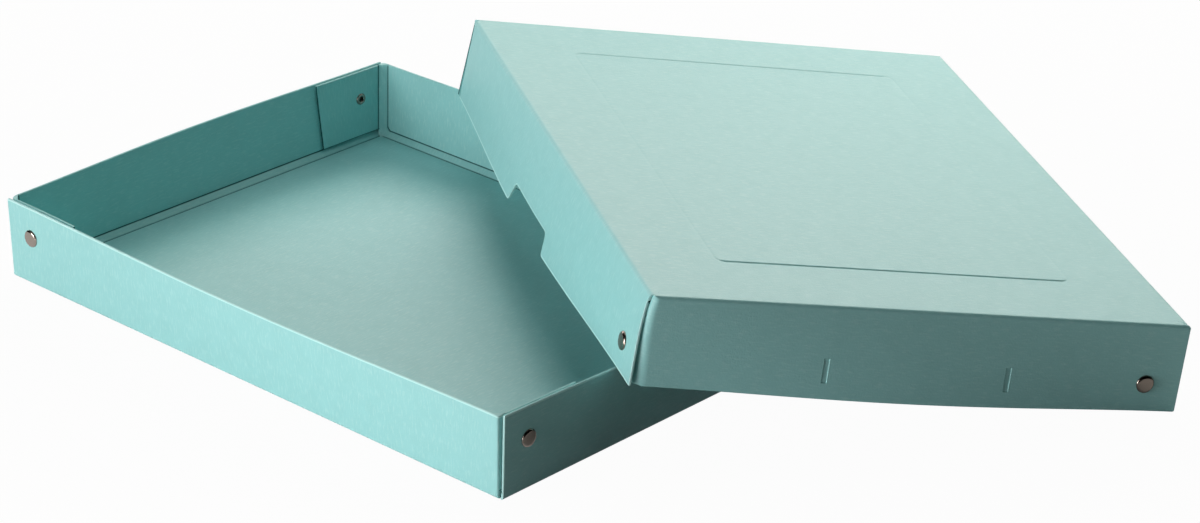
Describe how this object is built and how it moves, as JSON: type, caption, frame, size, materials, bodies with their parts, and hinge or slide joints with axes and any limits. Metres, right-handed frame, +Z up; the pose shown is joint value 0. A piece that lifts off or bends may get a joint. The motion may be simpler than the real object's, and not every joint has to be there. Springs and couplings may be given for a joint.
{
  "type": "document box",
  "caption": "Shallow two-part document box of pale teal pressboard: an open tray and a slip-on lid with thumb notches and riveted, folded corners, the lid leaning on the tray.",
  "frame": {"origin": "centre of the tray's flat underside", "axes": "+X along the tray's long side, +Y along its short side, +Z up"},
  "size_m": [0.478, 0.4522, 0.0827],
  "materials": {
    "board": "matte",
    "rivet": "satin"
  },
  "bodies": {
    "base": {"base_tray": "board", "base_rivet_1": "rivet", "base_rivet_2": "rivet", "base_rivet_3": "rivet", "base_rivet_4": "rivet"},
    "lid": {"lid": "board", "lid_rivet_1": "rivet", "lid_rivet_2": "rivet", "lid_rivet_3": "rivet", "lid_rivet_4": "rivet"}
  },
  "joints": [
    {"name": "lid_lift", "type": "slide", "parent": "base", "child": "lid", "axis": [0, 0, 1], "range_m": [0, 0.12]}
  ]
}
